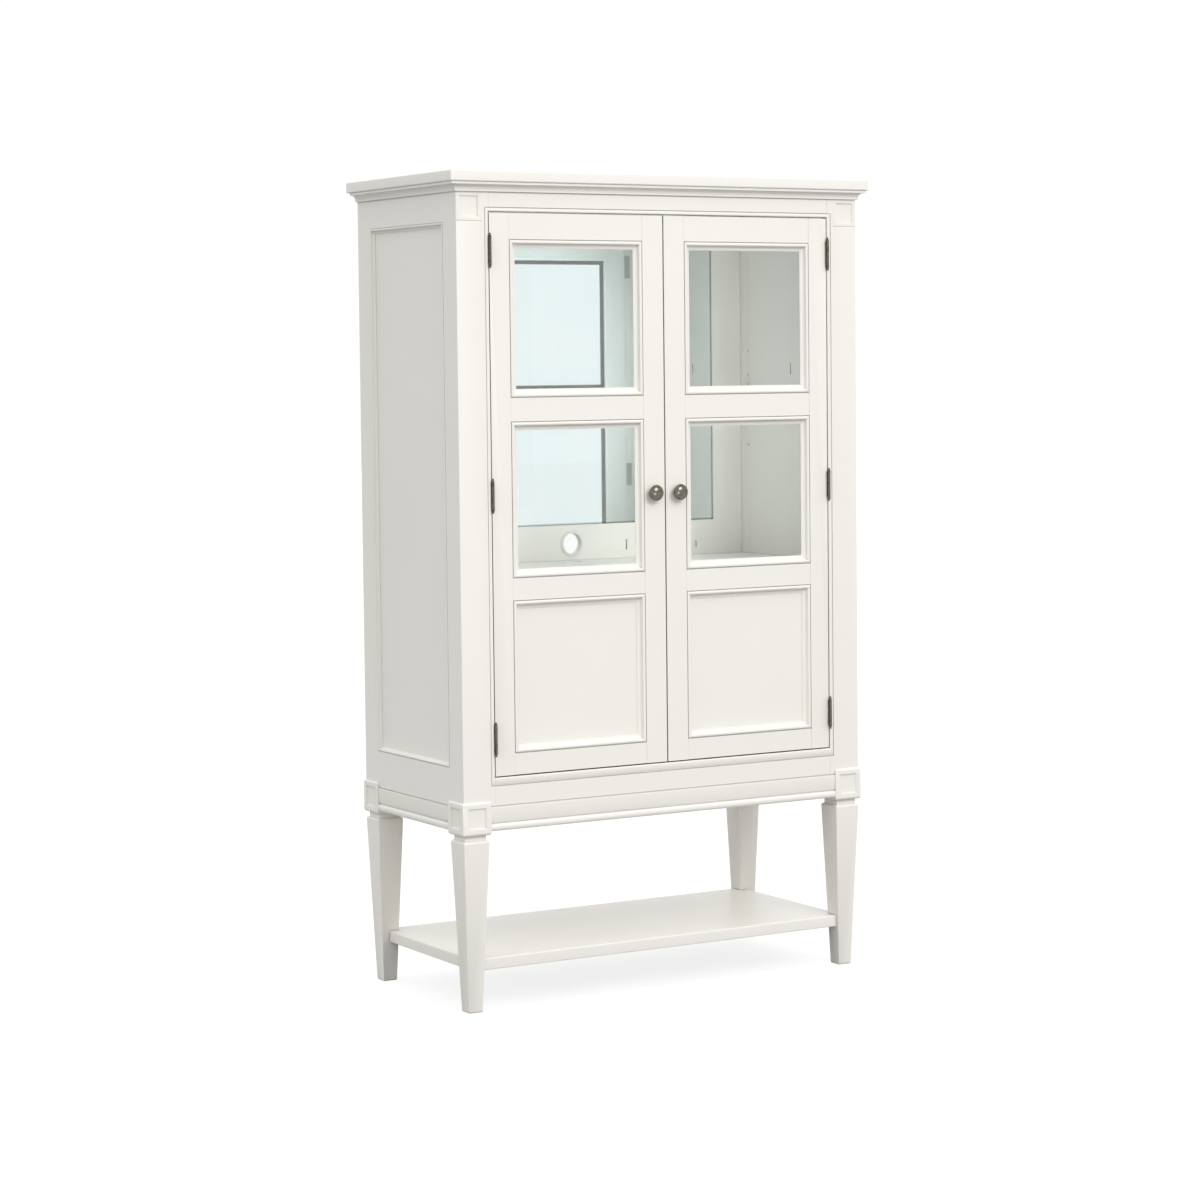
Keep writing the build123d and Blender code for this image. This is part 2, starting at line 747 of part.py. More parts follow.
def knob_head():
    """Turned knob standing on the XY plane."""
    rise = knob_projection - knob_rim
    dome_radius = (knob_radius**2 + rise**2) / (2 * rise)
    half_angle = asin(knob_radius / dome_radius) / 2
    on_dome = (dome_radius * sin(half_angle), knob_projection - dome_radius * (1 - cos(half_angle)))
    with BuildPart() as piece:
        with BuildSketch(Plane.XZ):
            with BuildLine():
                Polyline((0, 0), (9.0, 0), (9.0, 1.5))
                ThreePointArc((9.0, 1.5), (6.6, 3.6), (6.0, 6.5))
                ThreePointArc((6.0, 6.5), (13.2, 9.6), (knob_radius, knob_rim))
                ThreePointArc((knob_radius, knob_rim), on_dome, (0, knob_projection))
                Line((0, knob_projection), (0, 0))
            make_face()
        revolve(axis=Axis.Z)
    return piece.part


def knob_screw():
    """Screw of the knob, its head behind the door."""
    with BuildPart() as piece:
        with Locations((0, 0, -door_thickness)):
            Cylinder(knob_screw_radius, door_thickness + 13.0, align=(Align.CENTER, Align.CENTER, Align.MIN))
            Cylinder(2 * knob_screw_radius, 1.8, align=(Align.CENTER, Align.CENTER, Align.MAX))
    return piece.part


at_hinges = [Location((0, 0, height)) for height in hinge_heights]

with BuildPart() as left_door_hinge_stile:
    add(door_bar(x_hinge_side, x_hinge_rail, z_door_bottom, z_door_top))
    for height in hinge_heights:
        add(block_of(
            (x_hinge_side, y_door - 1.0, height - leaf_height / 2),
            (x_hinge_side + leaf, y_door + door_leaf_depth, height + leaf_height / 2),
        ), mode=Mode.SUBTRACT)
        for spread in (-leaf_screw_spread, leaf_screw_spread):
            with Locations(spot(facing_left(x_hinge_side), -y_door - door_screw_y, height + spread)):
                Cylinder(leaf_screw_radius, 2 * leaf_screw_length, mode=Mode.SUBTRACT)

with BuildPart() as left_door_meeting_stile:
    add(door_bar(x_meeting_rail, x_meeting_side, z_door_bottom, z_door_top))
    with Locations(spot(facing_front(y_door), -knob_x, knob_z)):
        Cylinder(knob_screw_radius, 4 * door_thickness, mode=Mode.SUBTRACT)

with BuildPart() as left_door_bottom_rail:
    add(door_bar(x_hinge_rail, x_meeting_rail, z_door_bottom, z_panel_bottom))

with BuildPart() as left_door_lower_rail:
    add(door_bar(x_hinge_rail, x_meeting_rail, z_panel_top, z_low_glass_bottom))

with BuildPart() as left_door_upper_rail:
    add(door_bar(x_hinge_rail, x_meeting_rail, z_low_glass_top, z_high_glass_bottom))

with BuildPart() as left_door_top_rail:
    add(door_bar(x_hinge_rail, x_meeting_rail, z_high_glass_top, z_door_top))

with BuildPart() as left_door_mouldings:
    with Locations(facing_front(y_door)):
        for opening in openings:
            inner = shrunk(opening, moulding_width)
            add(moulded_frame(opening, inner, door_moulding_section, moulding_depth, 3.0))

y_pane = y_door + moulding_depth
with BuildPart() as left_door_panel:
    x_low, z_low, x_high, z_high = openings[0]
    add(block_of((x_low, y_pane, z_low), (x_high, y_pane + door_panel_thickness, z_high)))

with BuildPart() as left_door_glass:
    for x_low, z_low, x_high, z_high in openings[1:]:
        add(block_of((x_low, y_pane, z_low), (x_high, y_pane + glass_thickness, z_high)))

with BuildPart() as left_door_stops:
    with Locations(facing_back(y_door_back)):
        behind = turned(openings[0])
        low_depth = door_thickness - moulding_depth - door_panel_thickness
        add(moulded_frame(behind, shrunk(behind, stop_bead), panel_stop_section, low_depth, 1.0))
        for opening in openings[1:]:
            behind = turned(opening)
            deep = door_thickness - moulding_depth - glass_thickness
            add(moulded_frame(behind, shrunk(behind, stop_bead), glass_stop_section, deep, 1.0))

with BuildPart() as left_door_knob:
    with Locations(spot(facing_front(y_door), -knob_x, knob_z)):
        add(knob_head())
        add(knob_screw())

with BuildPart() as left_door_strike:
    add(block_of((-44.0, y_door_back, z_catch - 7.0), (-14.0, y_door_back + 1.2, z_catch + 7.0)))

with BuildPart() as left_door_hinge_leaves:
    with Locations(*at_hinges):
        add(door_leaf())
    for height in hinge_heights:
        for spread in (-leaf_screw_spread, leaf_screw_spread):
            with Locations(spot(facing_left(x_hinge_side), -y_door - door_screw_y, height + spread)):
                add(leaf_screw())

# ----------------------------------------------------- hinges and catches on the case
with BuildPart() as hinge_frame_leaves:
    with Locations(*at_hinges):
        add(frame_leaf())
    for height in hinge_heights:
        for spread in (-leaf_screw_spread, leaf_screw_spread):
            leaf_back = facing_back(y_front + frame_thickness + leaf)
            with Locations(spot(leaf_back, frame_screw_x, height + spread)):
                add(leaf_screw())
    mirror(about=Plane.YZ)

with BuildPart() as hinge_pins:
    with Locations(*[(-hinge_x, hinge_y, height) for height in hinge_heights]):
        add(hinge_pin())
    mirror(about=Plane.YZ)

with BuildPart() as door_catches:
    y_catch = y_door_back + 2.0
    z_under = z_fixed_shelf - board
    add(block_of((-46.0, y_catch, z_catch - 8.0), (-12.0, y_catch + 14.0, z_under), edge=1.0))
    mirror(about=Plane.YZ)

# ------------------------------------------------------------- right-hand counterparts
left_of_case = {
    "post_front_left": post_front_left,
    "post_rear_left": post_rear_left,
    "leg_front_left": leg_front_left,
    "leg_rear_left": leg_rear_left,
    "side_panel_left": side_panel_left,
    "side_rails_left": side_rails_left,
    "left_door_hinge_stile": left_door_hinge_stile,
    "left_door_meeting_stile": left_door_meeting_stile,
    "left_door_bottom_rail": left_door_bottom_rail,
    "left_door_lower_rail": left_door_lower_rail,
    "left_door_upper_rail": left_door_upper_rail,
    "left_door_top_rail": left_door_top_rail,
    "left_door_mouldings": left_door_mouldings,
    "left_door_panel": left_door_panel,
    "left_door_glass": left_door_glass,
    "left_door_stops": left_door_stops,
    "left_door_knob": left_door_knob,
    "left_door_strike": left_door_strike,
    "left_door_hinge_leaves": left_door_hinge_leaves,
}
pieces = {
    "top_board": top_board,
    "cornice_front": cornice_front,
    "cornice_sides": cornice_sides,
    "frame_top_rail": frame_top_rail,
    "frame_bottom_rail": frame_bottom_rail,
    "frame_stiles": frame_stiles,
    "opening_bead": opening_bead,
    "apron_front": apron_front,
    "apron_sides": apron_sides,
    "side_mouldings": side_mouldings,
    "back_rails": back_rails,
    "back_panel": back_panel,
    "mirror_board": mirror_board,
    "mirror_glass": mirror_glass,
    "cable_grommet": cable_grommet,
    "inner_top": inner_top,
    "cabinet_floor": cabinet_floor,
    "fixed_shelf": fixed_shelf,
    "low_shelf": low_shelf,
    "hinge_frame_leaves": hinge_frame_leaves,
    "hinge_pins": hinge_pins,
    "door_catches": door_catches,
}
for name, piece in left_of_case.items():
    with BuildPart() as counterpart:
        mirror(piece.part, about=Plane.YZ)
    pieces[name] = piece
    pieces[name.replace("left", "right")] = counterpart

os.makedirs("parts", exist_ok=True)
for name, piece in pieces.items():
    piece.part.label = name
    export_step(piece.part, f"parts/{name}.step")
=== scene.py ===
import json
import math

import bmesh
import bpy
from mathutils import Matrix, Vector


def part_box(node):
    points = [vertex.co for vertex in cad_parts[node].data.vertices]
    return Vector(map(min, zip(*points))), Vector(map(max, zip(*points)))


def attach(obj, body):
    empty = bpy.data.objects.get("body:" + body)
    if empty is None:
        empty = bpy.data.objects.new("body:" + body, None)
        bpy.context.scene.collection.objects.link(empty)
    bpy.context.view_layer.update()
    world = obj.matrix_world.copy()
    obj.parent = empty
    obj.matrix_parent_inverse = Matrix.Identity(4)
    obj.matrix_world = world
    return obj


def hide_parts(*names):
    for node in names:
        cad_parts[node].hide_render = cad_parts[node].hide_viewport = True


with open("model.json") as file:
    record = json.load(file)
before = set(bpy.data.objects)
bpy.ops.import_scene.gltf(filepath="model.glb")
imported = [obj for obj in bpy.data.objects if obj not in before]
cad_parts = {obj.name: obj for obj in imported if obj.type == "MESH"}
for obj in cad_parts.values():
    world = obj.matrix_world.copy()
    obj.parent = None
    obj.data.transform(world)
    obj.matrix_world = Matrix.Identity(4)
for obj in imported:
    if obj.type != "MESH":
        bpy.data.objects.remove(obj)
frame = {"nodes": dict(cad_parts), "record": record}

MM = 0.001
nodes = frame["nodes"]
bodies = frame["record"]["behaviour"]["bodies"]
body_of = {node: body for body, names in bodies.items() for node in names}
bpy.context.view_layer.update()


# --------------------------------------------------------------------- materials
class Tree:
    """A material's node tree, built with short calls."""

    def __init__(self, name):
        self.material = bpy.data.materials.new(name)
        self.material.use_nodes = True
        self.tree = self.material.node_tree
        self.tree.nodes.clear()
        self.out = self.tree.nodes.new("ShaderNodeOutputMaterial")
        self.shader = self.tree.nodes.new("ShaderNodeBsdfPrincipled")
        self.link(self.shader.outputs["BSDF"], self.out.inputs["Surface"])

    def node(self, kind, **values):
        made = self.tree.nodes.new(kind)
        for key, value in values.items():
            if key in made.inputs:
                made.inputs[key].default_value = value
            else:
                setattr(made, key, value)
        return made

    def link(self, a, b):
        self.tree.links.new(a, b)

    def set(self, **values):
        for key, value in values.items():
            self.shader.inputs[key.replace("_", " ")].default_value = value

    def place(self, stretch):
        """Object coordinates, scaled along each axis."""
        coordinates = self.node("ShaderNodeTexCoord")
        mapping = self.node("ShaderNodeMapping")
        mapping.inputs["Scale"].default_value = stretch
        self.link(coordinates.outputs["Object"], mapping.inputs["Vector"])
        return mapping.outputs["Vector"]

    def noise(self, vector, scale, detail=4.0, roughness=0.55):
        made = self.node("ShaderNodeTexNoise", Scale=scale, Detail=detail, Roughness=roughness)
        self.link(vector, made.inputs["Vector"])
        return made.outputs["Fac"]

    def ramp(self, factor, low, high, start=0.3, end=0.7):
        made = self.node("ShaderNodeValToRGB")
        made.color_ramp.elements[0].position = start
        made.color_ramp.elements[1].position = end
        made.color_ramp.elements[0].color = (*low, 1) if len(low) == 3 else low
        made.color_ramp.elements[1].color = (*high, 1) if len(high) == 3 else high
        self.link(factor, made.inputs["Fac"])
        return made.outputs["Color"]

    def spread(self, factor, low, high):
        made = self.node("ShaderNodeMapRange")
        made.inputs["To Min"].default_value = low
        made.inputs["To Max"].default_value = high
        made.inputs["From Min"].default_value = 0.25
        made.inputs["From Max"].default_value = 0.75
        self.link(factor, made.inputs["Value"])
        return made.outputs["Result"]

    def darkened_by_painted_shade(self, colour, reach, dark, start, end):
        """The colour with painted shade, darkened towards corners no further apart than reach."""
        crease = self.node("ShaderNodeAmbientOcclusion", samples=6)
        crease.inputs["Distance"].default_value = reach
        shade = self.ramp(crease.outputs["AO"], dark, (1, 1, 1), start, end)
        mix = self.node("ShaderNodeMix", data_type="RGBA", blend_type="MULTIPLY")
        mix.inputs["Factor"].default_value = 1.0
        self.link(colour, mix.inputs["A"])
        self.link(shade, mix.inputs["B"])
        return mix.outputs["Result"]

    def bump(self, height, distance, strength, below=None):
        made = self.node("ShaderNodeBump", Strength=strength, Distance=distance)
        self.link(height, made.inputs["Height"])
        if below is not None:
            self.link(below, made.inputs["Normal"])
        return made.outputs["Normal"]


def grey(value):
    return (value, value, value)


GRAIN = {"x": (0.05, 1, 1), "y": (1, 0.05, 1), "z": (1, 1, 0.05), "none": (1, 1, 1)}


def painted(name, light, deep, grain="none", roughness=(0.34, 0.46), relief=1.0):
    """Sprayed satin paint over fine-grained wood: faint grain, soft orange peel, painted shade darkening the
    creases.
    """
    t = Tree(name)
    along = t.place(GRAIN[grain])
    plain = t.place((1, 1, 1))
    cloud = t.noise(plain, 3.1, 3.0)
    grain_lines = t.noise(along, 420.0, 3.0, 0.6)
    peel = t.noise(plain, 640.0, 2.0, 0.5)
    colour = t.ramp(cloud, deep, light, 0.25, 0.75)
    # Painted shade: the paint colour is darkened in creases, grooves and joints.
    shaded = t.darkened_by_painted_shade(colour, 0.006, (0.42, 0.40, 0.365), 0.10, 0.78)
    t.link(shaded, t.shader.inputs["Base Color"])
    t.link(t.spread(t.noise(plain, 14.0), *roughness), t.shader.inputs["Roughness"])
    fine = t.bump(peel, 0.00004 * relief, 0.35)
    t.link(t.bump(grain_lines, 0.00012 * relief, 0.30, fine), t.shader.inputs["Normal"])
    t.set(Specular_IOR_Level=0.45, Coat_Weight=0.08, Coat_Roughness=0.22)
    return t.material


PAINT_LIGHT = (0.81, 0.790, 0.745)
PAINT_DEEP = (0.795, 0.773, 0.725)
paint = {g: painted("warm_white_paint_" + g, PAINT_LIGHT, PAINT_DEEP, g) for g in GRAIN}
# Painted shade: the back board gets a darker, more beige copy of the warm white paint, standing for the shade
# it sits in.
back_board_shade_darkened = painted("back_board_paint_painted_shade", (0.70, 0.68, 0.60), (0.67, 0.645, 0.565), "z", (0.5, 0.62))
sleeve = painted("sleeve_plastic", (0.74, 0.73, 0.68), (0.72, 0.71, 0.66), "none", (0.45, 0.55), 0.4)


PLATED_FROM_Y = -0.214


def bronze():
    """Dark antique bronze in front, plain plated leaf behind the door face."""
    t = Tree("dark_bronze")
    plain = t.place((1, 1, 1))
    blotch = t.noise(plain, 210.0, 6.0, 0.65)
    fine = t.noise(plain, 2600.0, 3.0, 0.5)
    depth = t.node("ShaderNodeSeparateXYZ")
    t.link(plain, depth.inputs["Vector"])
    worn = t.ramp(blotch, (0.055, 0.050, 0.040), (0.20, 0.185, 0.150), 0.35, 0.72)
    plated = t.node("ShaderNodeMapRange")
    plated.inputs["From Min"].default_value = PLATED_FROM_Y - 0.5 * MM
    plated.inputs["From Max"].default_value = PLATED_FROM_Y + 0.5 * MM
    t.link(depth.outputs["Y"], plated.inputs["Value"])
    tone = t.node("ShaderNodeMix", data_type="RGBA")
    t.link(plated.outputs["Result"], tone.inputs["Factor"])
    t.link(worn, tone.inputs["A"])
    t.link(t.ramp(blotch, (0.50, 0.50, 0.47), (0.62, 0.62, 0.59)), tone.inputs["B"])
    t.link(tone.outputs["Result"], t.shader.inputs["Base Color"])
    t.link(t.spread(blotch, 0.30, 0.48), t.shader.inputs["Roughness"])
    t.link(t.bump(fine, 0.00003, 0.4), t.shader.inputs["Normal"])
    t.set(Metallic=1.0)
    return t.material


def pewter():
    """Rubbed pewter of the knobs, with painted shade darkening the hollow of the neck so the dome stands out
    brighter.
    """
    t = Tree("antique_pewter")
    plain = t.place((1, 1, 1))
    blotch = t.noise(plain, 160.0, 6.0, 0.62)
    tone = t.ramp(blotch, (0.085, 0.077, 0.062), (0.25, 0.232, 0.195), 0.30, 0.72)
    # Painted shade: the metal colour is darkened in the hollow of the neck.
    shaded = t.darkened_by_painted_shade(tone, 0.010, (0.22, 0.19, 0.16), 0.2, 0.9)
    t.link(shaded, t.shader.inputs["Base Color"])
    t.link(t.spread(blotch, 0.17, 0.30), t.shader.inputs["Roughness"])
    t.link(t.bump(t.noise(plain, 1800.0), 0.00003, 0.35), t.shader.inputs["Normal"])
    t.set(Metallic=1.0)
    return t.material


def pane():
    """Clear float glass with a faint cool tint and slow waviness."""
    t = Tree("clear_glass")
    plain = t.place((1, 1, 1))
    t.link(t.bump(t.noise(plain, 5.0, 1.0), 0.0006, 0.06), t.shader.inputs["Normal"])
    t.link(t.spread(t.noise(plain, 40.0), 0.0, 0.015), t.shader.inputs["Roughness"])
    t.set(Base_Color=(0.965, 0.985, 0.98, 1), IOR=1.45, Transmission_Weight=1.0)
    path = t.node("ShaderNodeLightPath")
    clear = t.node("ShaderNodeBsdfTransparent", Color=(0.93, 0.96, 0.95, 1))
    let_light_in = t.node("ShaderNodeMixShader")
    t.link(path.outputs["Is Shadow Ray"], let_light_in.inputs["Fac"])
    t.link(t.shader.outputs["BSDF"], let_light_in.inputs[1])
    t.link(clear.outputs["BSDF"], let_light_in.inputs[2])
    t.link(let_light_in.outputs["Shader"], t.out.inputs["Surface"])
    return t.material


def silvered():
    """Silvered plate: clean, faintly cool, slightly soft, with a painted reflection of the dark rebate
    darkening its rim.
    """
    t = Tree("silvered_mirror")
    plain = t.place((1, 1, 1))
    silver = t.ramp(t.noise(plain, 4.0, 2.0), (0.86, 0.93, 0.945), (0.89, 0.95, 0.96))
    # Painted reflection: the silver is darkened along the rim, standing for the dark rebate it would reflect.
    rim_painted_reflection = t.darkened_by_painted_shade(silver, 0.006, (0.10, 0.12, 0.125), 0.55, 0.95)
    t.link(rim_painted_reflection, t.shader.inputs["Base Color"])
    t.link(t.spread(t.noise(plain, 25.0), 0.01, 0.03), t.shader.inputs["Roughness"])
    t.set(Metallic=1.0)
    return t.material


def plain_steel():
    """Pressed steel plate with fine rolling marks."""
    t = Tree("pressed_steel")
    lines = t.noise(t.place((0.04, 1, 1)), 1500.0, 3.0)
    t.link(t.ramp(lines, grey(0.42), grey(0.56)), t.shader.inputs["Base Color"])
    t.link(t.spread(lines, 0.32, 0.46), t.shader.inputs["Roughness"])
    t.set(Metallic=1.0)
    return t.material


dark_bronze = bronze()
knob_metal = pewter()
clear_glass = pane()
mirror_silver = silvered()
steel = plain_steel()


# ------------------------------------------------------------------ shared shapes
def finished(name, mesh_data, node, material, smooth=35.0):
    """Puts a finished mesh in the scene in the place of a CAD node."""
    piece = bpy.data.objects.new(name, mesh_data)
    bpy.context.scene.collection.objects.link(piece)
    mesh_data.materials.clear()
    mesh_data.materials.append(material)
    mesh_data.shade_smooth()
    mesh_data.set_sharp_from_angle(angle=math.radians(smooth))
    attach(piece, body_of[node])
    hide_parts(node)
    return piece


def mesh_from(name, bm):
    data = bpy.data.meshes.new(name)
    bmesh.ops.recalc_face_normals(bm, faces=bm.faces)
    bm.to_mesh(data)
    bm.free()
    return data


def eased(node, material, radius, segments=3, smooth=40.0):
    """The CAD board again, with its sharp edges rounded over by a radius in millimetres."""
    bm = bmesh.new()
    bm.from_mesh(nodes[node].data)
    bmesh.ops.remove_doubles(bm, verts=bm.verts, dist=1e-6)
    bmesh.ops.dissolve_limit(bm, angle_limit=math.radians(0.6), verts=bm.verts, edges=bm.edges)
    piece = finished(node + "_eased", mesh_from(node + "_eased", bm), node, material, smooth)
    bevel = piece.modifiers.new("ease", "BEVEL")
    bevel.width = radius * MM
    bevel.segments = segments
    bevel.limit_method = "ANGLE"
    bevel.angle_limit = math.radians(40)
    bevel.harden_normals = True
    bevel.use_clamp_overlap = True
    bevel.miter_outer = "MITER_ARC"
    return piece


def arc(centre, radius, start, end, steps):
    """Points on an arc, angles in degrees, both ends included."""
    points = []
    for k in range(steps + 1):
        angle = math.radians(start + (end - start) * k / steps)
        points.append((centre[0] + radius[0] * math.cos(angle), centre[1] + radius[1] * math.sin(angle)))
    return points


def strip(bm, profile, start, end):
    """One length of moulding. start and end turn a profile point into a point in space."""
    first = [bm.verts.new(start(x, y)) for x, y in profile]
    last = [bm.verts.new(end(x, y)) for x, y in profile]
    count = len(profile)
    for k in range(count):
        j = (k + 1) % count
        bm.faces.new((first[k], first[j], last[j], last[k]))
    bm.faces.new(first)
    bm.faces.new(list(reversed(last)))


MITRE_GAP = 0.06 * MM


def moulded_frame(bm, outer, inner, profile_of, to_space):
    """Four mitred strips between two rectangles. to_space takes (across, up, out)."""
    ox0, oy0, ox1, oy1 = outer
    ix0, iy0, ix1, iy1 = inner
    sides = (
        ((ox0, oy0), (ox1, oy0), (ix1, iy0), (ix0, iy0), iy0 - oy0),
        ((ox1, oy0), (ox1, oy1), (ix1, iy1), (ix1, iy0), ox1 - ix1),
        ((ox1, oy1), (ox0, oy1), (ix0, iy1), (ix1, iy1), oy1 - iy1),
        ((ox0, oy1), (ox0, oy0), (ix0, iy0), (ix0, iy1), ix0 - ox0),
    )
    for a, b, c, d, width in sides:
        along = (Vector(b) - Vector(a)).normalized() * MITRE_GAP

        def at(corner, far, shift):
            def place(x, y):
                spot = Vector(corner) + (Vector(far) - Vector(corner)) * (x / width) + shift
                return to_space(spot.x, spot.y, y)

            return place

        strip(bm, profile_of(width), at(a, d, along), at(b, c, -along))


# -------------------------------------------------------------- driving dimensions
HALF_BODY = 0.507
Y_FRONT = -0.228
Y_BACK = 0.239
POST = 0.061
FLANGE = 0.017
BLOCK_PROUD = 0.004
Z_TOP = 1.755
Z_CORNICE = 1.735

low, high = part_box("left_door_meeting_stile")
Y_DOOR = low.y
DOOR_BACK = high.y


def facing_front(y):
    return lambda across, up, out: (across, y - out, up)


def facing_back(y):
    return lambda across, up, out: (across, y + out, up)


def facing_left(x):
    return lambda across, up, out: (x - out, -across, up)


def facing_right(x):
    return lambda across, up, out: (x + out, across, up)


# ------------------------------------------------------------------ door mouldings
def door_profile(width):
    """Quirk, raised bead, step, deep cove and a flat lip at the pane."""
    lip = width - 2.2 * MM
    points = [(0, -10 * MM), (0, -0.2 * MM), (0.25 * MM, -1.6 * MM), (1.1 * MM, -1.8 * MM)]
    points += arc((4.9 * MM, -0.4 * MM), (3.5 * MM, 1.9 * MM), 200, -10, 14)
    points += [(8.5 * MM, -1.5 * MM), (9.0 * MM, -1.7 * MM)]
    points += arc((lip, -1.7 * MM), (lip - 9.0 * MM, 6.6 * MM), 180, 270, 12)[1:]
    points += [
        (lip + 0.2 * MM, -8.9 * MM), (width - 0.3 * MM, -9.1 * MM),
        (width, -9.4 * MM), (width, -10 * MM),
    ]
    return points


PANEL_Z = (0.5485, 0.8735)
LOW_GLASS_Z = (0.921, 1.2525)
HIGH_GLASS_Z = (1.303, 1.6365)
STILE_INNER = 0.053
STILE_OUTER = 0.381
MOULDING = 0.0185


def shrunk(rectangle, margin):
    x0, z0, x1, z1 = rectangle
    return (x0 + margin, z0 + margin, x1 - margin, z1 - margin)


for side, sign in (("left", -1), ("right", 1)):
    bm = bmesh.new()
    x0, x1 = sorted((sign * STILE_INNER, sign * STILE_OUTER))
    for z0, z1 in (PANEL_Z, LOW_GLASS_Z, HIGH_GLASS_Z):
        opening = (x0, z0, x1, z1)
        moulded_frame(bm, opening, shrunk(opening, MOULDING), door_profile, facing_front(Y_DOOR))
    node = side + "_door_mouldings"
    finished(node + "_run", mesh_from(node + "_run", bm), node, paint["none"], 38)


def stop_profile(depth):
    """Square bead with one eased corner, depth down to the pane or panel."""
    def points_of(width):
        ease = arc((width - 1.2 * MM, -1.2 * MM), (1.2 * MM, 1.2 * MM), 90, 0, 5)
        return [(0, -depth), (0, -0.2 * MM), (0.2 * MM, 0)] + ease + [(width, -depth)]

    return points_of


DOOR_THICKNESS = DOOR_BACK - Y_DOOR
STOP_WIDTH = 9 * MM
MOULDING_DEPTH = 10 * MM
PANEL_THICKNESS = 8 * MM
PANE_THICKNESS = 3 * MM
BEHIND_PANEL = DOOR_THICKNESS - MOULDING_DEPTH - PANEL_THICKNESS
BEHIND_PANE = DOOR_THICKNESS - MOULDING_DEPTH - PANE_THICKNESS
for side, sign in (("left", -1), ("right", 1)):
    bm = bmesh.new()
    x0, x1 = sorted((sign * STILE_INNER, sign * STILE_OUTER))
    for (z0, z1), depth in (
        (PANEL_Z, BEHIND_PANEL), (LOW_GLASS_Z, BEHIND_PANE), (HIGH_GLASS_Z, BEHIND_PANE),
    ):
        opening = (x0, z0, x1, z1)
        profile = stop_profile(depth)
        moulded_frame(bm, opening, shrunk(opening, STOP_WIDTH), profile, facing_back(DOOR_BACK))
    node = side + "_door_stops"
    finished(node + "_run", mesh_from(node + "_run", bm), node, paint["none"], 38)


# ----------------------------------------------------------- bead round the opening
def bead_profile(width):
    """Quirk, flat and rounded inner edge."""
    turn = 3.0 * MM
    points = [
        (0, -9 * MM), (0, -0.1 * MM), (0.3 * MM, -1.5 * MM),
        (1.2 * MM, -1.6 * MM), (1.6 * MM, -0.4 * MM), (2.2 * MM, -0.05 * MM),
    ]
    points += arc((width - turn, -turn - 0.05 * MM), (turn, turn), 90, 0, 8)
    points += [(width, -9 * MM)]
    return points


HALF_OPENING = 0.430
OPENING_LOW, OPENING_HIGH = 0.500, 1.694
BEAD_SIDE, BEAD_TOP, BEAD_BOTTOM = 0.010, 0.009, 0.018
bm = bmesh.new()
moulded_frame(
    bm,
    (
        -HALF_OPENING - BEAD_SIDE, OPENING_LOW - BEAD_BOTTOM,
        HALF_OPENING + BEAD_SIDE, OPENING_HIGH + BEAD_TOP,
    ),
    (-HALF_OPENING, OPENING_LOW, HALF_OPENING, OPENING_HIGH),
    bead_profile, facing_front(Y_FRONT),
)
finished("opening_bead_run", mesh_from("opening_bead_run", bm), "opening_bead", paint["none"], 38)


# ----------------------------------------------------------------- side mouldings
def side_profile(width):
    """Small bead and cove down to the side panel."""
    foot = width - 1.0 * MM
    points = [(0, -8 * MM), (0, -0.2 * MM), (0.2 * MM, -1.0 * MM), (0.8 * MM, -1.1 * MM)]
    points += arc((3.0 * MM, -0.3 * MM), (2.1 * MM, 1.4 * MM), 200, -10, 12)
    points += [(5.2 * MM, -1.0 * MM)]
    points += arc((foot, -1.0 * MM), (foot - 5.2 * MM, 5.6 * MM), 180, 270, 10)[1:]
    points += [(width, -7.0 * MM), (width, -8 * MM)]
    return points


SIDE_LOW = Y_FRONT + POST
SIDE_HIGH = Y_BACK - POST
SIDE_OPENING_Z = (0.521, 1.6735)
SIDE_BEAD = 0.011
bm = bmesh.new()
for to_space, ends in (
    (facing_left(-HALF_BODY), (-SIDE_HIGH, -SIDE_LOW)),
    (facing_right(HALF_BODY), (SIDE_LOW, SIDE_HIGH)),
):
    opening = (ends[0], SIDE_OPENING_Z[0], ends[1], SIDE_OPENING_Z[1])
    moulded_frame(bm, opening, shrunk(opening, SIDE_BEAD), side_profile, to_space)
finished("side_mouldings_run", mesh_from("side_mouldings_run", bm), "side_mouldings", paint["none"], 38)


# ----------------------------------------------------------------- cornice, aprons
def cornice_profile():
    """x out from the post face, y height: lip, cove and fillet under the top board."""
    points = [(-FLANGE, Z_TOP), (-FLANGE, Z_CORNICE), (4.0 * MM, Z_CORNICE), (4.5 * MM, Z_CORNICE + 0.5 * MM)]
    points += [(4.5 * MM, Z_CORNICE + 4.0 * MM), (5.0 * MM, Z_CORNICE + 4.5 * MM)]
    points += arc((15.0 * MM, Z_CORNICE + 4.5 * MM), (10.0 * MM, 9.8 * MM), 180, 90, 14)[1:]
    points += [
        (15.2 * MM, Z_TOP - 5.5 * MM), (17.6 * MM, Z_TOP - 5.5 * MM),
        (18.0 * MM, Z_TOP - 5.1 * MM), (18.0 * MM, Z_TOP),
    ]
    return points


APRON_Z = (0.387, 0.4405)


def apron_profile():
    """x out from the post face, y height: fillet, thumb moulding and torus."""
    low_z, high_z = APRON_Z
    points = [(-FLANGE, high_z), (-FLANGE, low_z), (-1.0 * MM, low_z)]
    points += arc((-1.0 * MM, low_z + 7.5 * MM), (4.4 * MM, 7.5 * MM), -90, 90, 16)[1:]
    points += [(-1.3 * MM, low_z + 15.2 * MM), (-2.6 * MM, low_z + 15.9 * MM)]
    points += arc((-2.6 * MM, high_z - 2.4 * MM), (4.6 * MM, 34.8 * MM), -88, 0, 18)[1:]
    points += [(1.8 * MM, high_z - 1.9 * MM), (-1.3 * MM, high_z - 1.9 * MM), (-1.5 * MM, high_z)]
    return points


